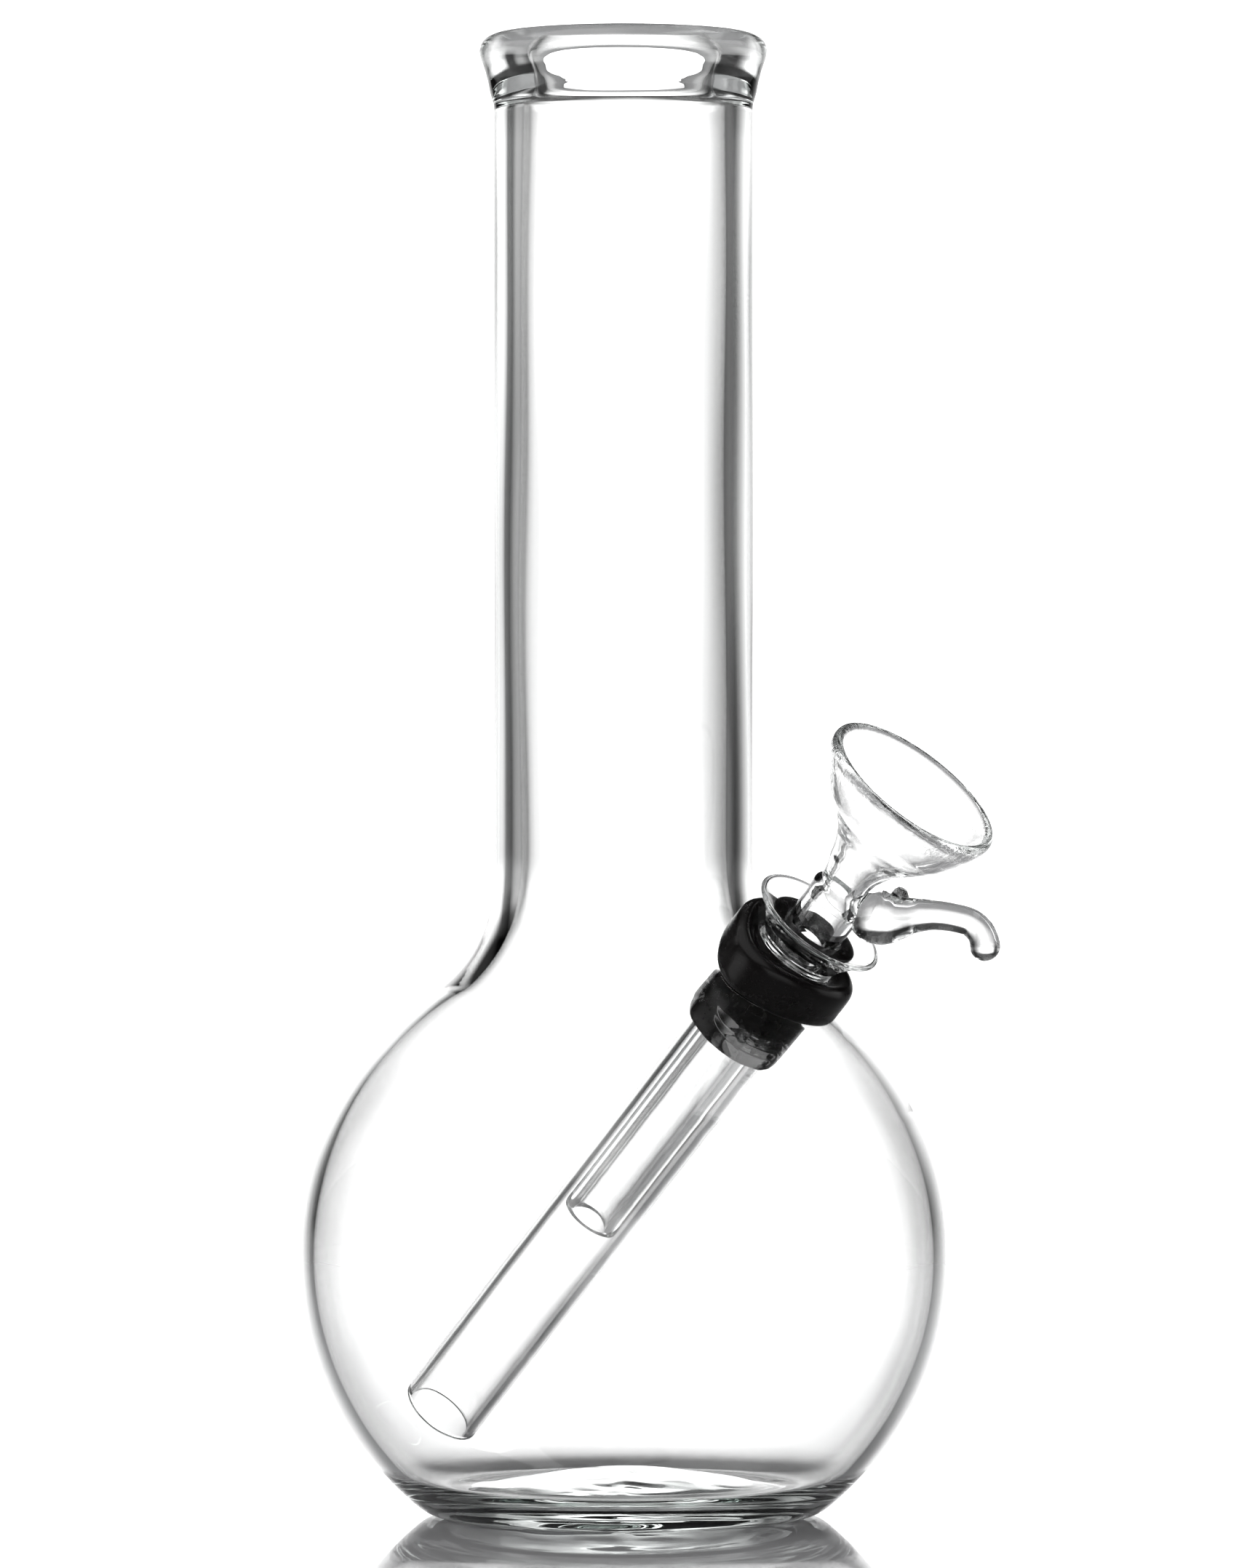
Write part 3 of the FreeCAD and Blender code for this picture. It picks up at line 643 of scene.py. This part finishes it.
def rubber_material(name):
    """Soft black rubber with a slightly uneven skin."""
    material, nodes, links = new_material(name)
    output = nodes.new("ShaderNodeOutputMaterial")
    surface = nodes.new("ShaderNodeBsdfPrincipled")
    coordinates = nodes.new("ShaderNodeTexCoord")
    noise = nodes.new("ShaderNodeTexNoise")
    noise.inputs["Scale"].default_value = 900
    noise.inputs["Detail"].default_value = 4
    links.new(coordinates.outputs["Object"], noise.inputs["Vector"])
    shade = nodes.new("ShaderNodeValToRGB")
    shade.color_ramp.elements[0].color = (0.0035, 0.003, 0.003, 1)
    shade.color_ramp.elements[1].color = (0.007, 0.006, 0.006, 1)
    links.new(noise.outputs["Fac"], shade.inputs["Fac"])
    links.new(shade.outputs["Color"], surface.inputs["Base Color"])
    gloss = nodes.new("ShaderNodeMapRange")
    gloss.inputs["To Min"].default_value = 0.16
    gloss.inputs["To Max"].default_value = 0.34
    links.new(noise.outputs["Fac"], gloss.inputs["Value"])
    links.new(gloss.outputs[0], surface.inputs["Roughness"])
    surface.inputs["IOR"].default_value = 1.5
    surface.inputs["Specular IOR Level"].default_value = 0.16
    bump = nodes.new("ShaderNodeBump")
    bump.inputs["Strength"].default_value = 0.2
    bump.inputs["Distance"].default_value = 0.02 * MM
    links.new(noise.outputs["Fac"], bump.inputs["Height"])
    links.new(bump.outputs[0], surface.inputs["Normal"])
    links.new(surface.outputs[0], output.inputs["Surface"])
    return material


def floor_material():
    """A smooth pale table top, its colour painted darker near the object as painted shade round its
    foot.
    """
    material, nodes, links = new_material("floor_white")
    output = nodes.new("ShaderNodeOutputMaterial")
    surface = nodes.new("ShaderNodeBsdfPrincipled")
    coordinates = nodes.new("ShaderNodeTexCoord")
    distance = nodes.new("ShaderNodeVectorMath")
    distance.operation = "LENGTH"
    links.new(coordinates.outputs["Object"], distance.inputs[0])
    # painted shade: the floor's colour is darkest close to the object and grows paler out to 1.2 m
    painted_shade_fade = nodes.new("ShaderNodeMapRange")
    painted_shade_fade.inputs["From Min"].default_value = 0.1
    painted_shade_fade.inputs["From Max"].default_value = 1.2
    links.new(distance.outputs["Value"], painted_shade_fade.inputs["Value"])
    shade = nodes.new("ShaderNodeValToRGB")
    shade.color_ramp.elements[0].color = (0.58, 0.58, 0.59, 1)
    shade.color_ramp.elements[1].color = (0.82, 0.82, 0.82, 1)
    links.new(painted_shade_fade.outputs[0], shade.inputs["Fac"])
    links.new(shade.outputs["Color"], surface.inputs["Base Color"])
    surface.inputs["Roughness"].default_value = 0.03
    surface.inputs["IOR"].default_value = 1.5
    links.new(surface.outputs[0], output.inputs["Surface"])
    return material


# ---------------------------------------------------------------- surroundings
VIEW_TURN = math.radians(33)
BACK = Vector((math.sin(VIEW_TURN), -math.cos(VIEW_TURN), 0))
RIGHT = Vector((math.cos(VIEW_TURN), math.sin(VIEW_TURN), 0))
WALL_BRIGHTNESS = 1.6
# light of the studio's walls by the angle round the object, 0 straight behind it
WALL_LIGHT = [(-180, 0.8), (-158, 0.8), (-150, 0.04), (-115, 0.04), (-108, 0.8), (-72, 0.8),
              (-62, 0.05), (-52, 0.19), (-45, 0.17), (-38, 0.015), (-27, 0.015), (-22, 0.35),
              (-17, 0.6), (-10, 0.75), (-7, 0.95), (7, 0.95), (10, 0.7), (15, 0.5), (20, 0.33),
              (25, 0.19), (30, 0.08), (36, 0.015), (62, 0.03), (72, 0.8), (108, 0.8), (115, 0.05),
              (150, 0.05), (158, 0.8), (180, 0.8)]


def make_world():
    """A bright wall behind, dark and bright walls round the sides, and two soft boxes overhead."""
    world = bpy.data.worlds.new("studio")
    bpy.context.scene.world = world
    world.use_nodes = True
    nodes, links = world.node_tree.nodes, world.node_tree.links
    nodes.clear()
    output = nodes.new("ShaderNodeOutputWorld")
    background = nodes.new("ShaderNodeBackground")
    links.new(background.outputs[0], output.inputs["Surface"])
    coordinates = nodes.new("ShaderNodeTexCoord")

    def maths(operation, *values):
        return math_node(nodes, links, operation, *values)

    def dot(vector):
        return dot_node(nodes, links, coordinates.outputs["Generated"], vector)

    def ramp(value, low, high, at_low, at_high):
        return smooth_ramp(nodes, links, value, low, high, at_low, at_high)

    ahead = dot(-BACK)
    across = dot(RIGHT)
    up = dot((0, 0, 1))
    angle = maths("ARCTAN2", across, ahead)
    place = maths("MULTIPLY_ADD", angle, 0.5 / math.pi, 0.5)
    wall = nodes.new("ShaderNodeValToRGB")
    links.new(place, wall.inputs["Fac"])
    stops = wall.color_ramp.elements
    while len(stops) > 1:
        stops.remove(stops[0])
    for index, (degrees, light) in enumerate(WALL_LIGHT):
        stop = stops[0] if index == 0 else stops.new(degrees / 360 + 0.5)
        stop.position = degrees / 360 + 0.5
        stop.color = (light, light, light, 1)
    wall_end = ramp(up, math.sin(math.radians(13)), math.sin(math.radians(22)), 1.0, 0.03)
    wall_foot = ramp(up, math.sin(math.radians(1)), math.sin(math.radians(6)), 1.0, 1.55)
    height = maths("MULTIPLY", wall_end, wall_foot)
    above = maths("MAXIMUM", up, 0.05)
    sideways = maths("DIVIDE", across, above)
    lengthways = maths("DIVIDE", dot(BACK), above)

    def softbox(left, right, far, near, edge, light):
        """A soft rectangle of light overhead, its sides given as slopes from straight up."""
        sides = maths("MULTIPLY", ramp(sideways, left - edge, left + edge, 0.0, 1.0),
                      ramp(sideways, right - edge, right + edge, 1.0, 0.0))
        ends = maths("MULTIPLY", ramp(lengthways, far - edge, far + edge, 0.0, 1.0),
                     ramp(lengthways, near - edge, near + edge, 1.0, 0.0))
        both = maths("MULTIPLY", maths("MULTIPLY", sides, ends), light)
        return maths("MULTIPLY", both, ramp(up, 0.1, 0.3, 0.0, 1.0))

    top = maths("ADD", softbox(0.47, 0.76, -0.57, 0.6, 0.015, 1.5),
                softbox(-1.6, 0.0, -0.2, 1.6, 0.2, 0.95))
    mix = maths("ADD", maths("MULTIPLY", wall.outputs["Color"], height), top)
    links.new(maths("MULTIPLY", mix, WALL_BRIGHTNESS), background.inputs["Strength"])
    background.inputs["Color"].default_value = (1, 1, 1, 1)


def make_floor():
    """The round table top that the object stands on."""
    sides, reach = 96, 3.0
    turns = [2 * math.pi * k / sides for k in range(sides)]
    points = [(reach * math.cos(turn), reach * math.sin(turn), 0) for turn in turns]
    mesh = bpy.data.meshes.new("floor")
    mesh.from_pydata(points, [], [tuple(range(sides))])
    floor = bpy.data.objects.new("floor", mesh)
    bpy.context.scene.collection.objects.link(floor)
    mesh.materials.append(floor_material())


CAMERA_DISTANCE = 1.238
CAMERA_HEIGHT = 0.1192
CAMERA_SHIFT = 0.000587  # how far right of the object's axis the camera aims
IMAGE_ROWS = 2156
FOCAL_ROWS = 11600  # focal length in rows of the image
CAMERA_DIP = 111 / FOCAL_ROWS  # slope of the camera's axis below level
SENSOR = 36
FOCAL_LENGTH = FOCAL_ROWS / IMAGE_ROWS * SENSOR


def make_camera():
    """A long lens above half the object's height, aimed a little down."""
    eye = BACK * CAMERA_DISTANCE + Vector((0, 0, CAMERA_HEIGHT))
    target = RIGHT * CAMERA_SHIFT + Vector((0, 0, CAMERA_HEIGHT - CAMERA_DISTANCE * CAMERA_DIP))
    data = bpy.data.cameras.new("camera")
    data.sensor_width = SENSOR
    data.lens = FOCAL_LENGTH
    data.clip_start = 0.01
    data.clip_end = 50
    camera = bpy.data.objects.new("camera", data)
    camera.location = eye
    camera.rotation_euler = (target - eye).to_track_quat("-Z", "Y").to_euler()
    bpy.context.scene.collection.objects.link(camera)
    bpy.context.scene.camera = camera


# ---------------------------------------------------------------- putting it together
flask = make_flask()
tube = make_tube()
bowl = make_bowl()
grommet = make_grommet()
seal = make_seal()

CLEAR = (0.80, 0.90, 0.86)
for piece, body, node, slot, material in (
        (flask, "flask", "flask_body", "flask_glass",
         glass_material("flask_clear_glass", CLEAR, 0.012, 8, 6.0)),
        (tube, "downstem", "downstem", "tube_glass",
         glass_material("tube_clear_glass", CLEAR, 0.01, 5)),
        (bowl, "bowl", "bowl_slide", "bowl_glass",
         ground_band(glass_material("bowl_clear_glass", CLEAR, 0.03, 3))),
        (grommet, "grommet", "grommet", "grommet_rubber", rubber_material("grommet_black_rubber")),
        (seal, "seal", "slide_seal", "seal_rubber", rubber_material("seal_black_rubber"))):
    piece.data.materials.clear()
    piece.data.materials.append(material)
    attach(piece, body)
    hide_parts(node)

make_world()
make_floor()
make_camera()
scene = bpy.context.scene
scene.view_settings.view_transform = "Standard"
scene.cycles.max_bounces = 40
scene.cycles.transmission_bounces = 40
scene.cycles.glossy_bounces = 16
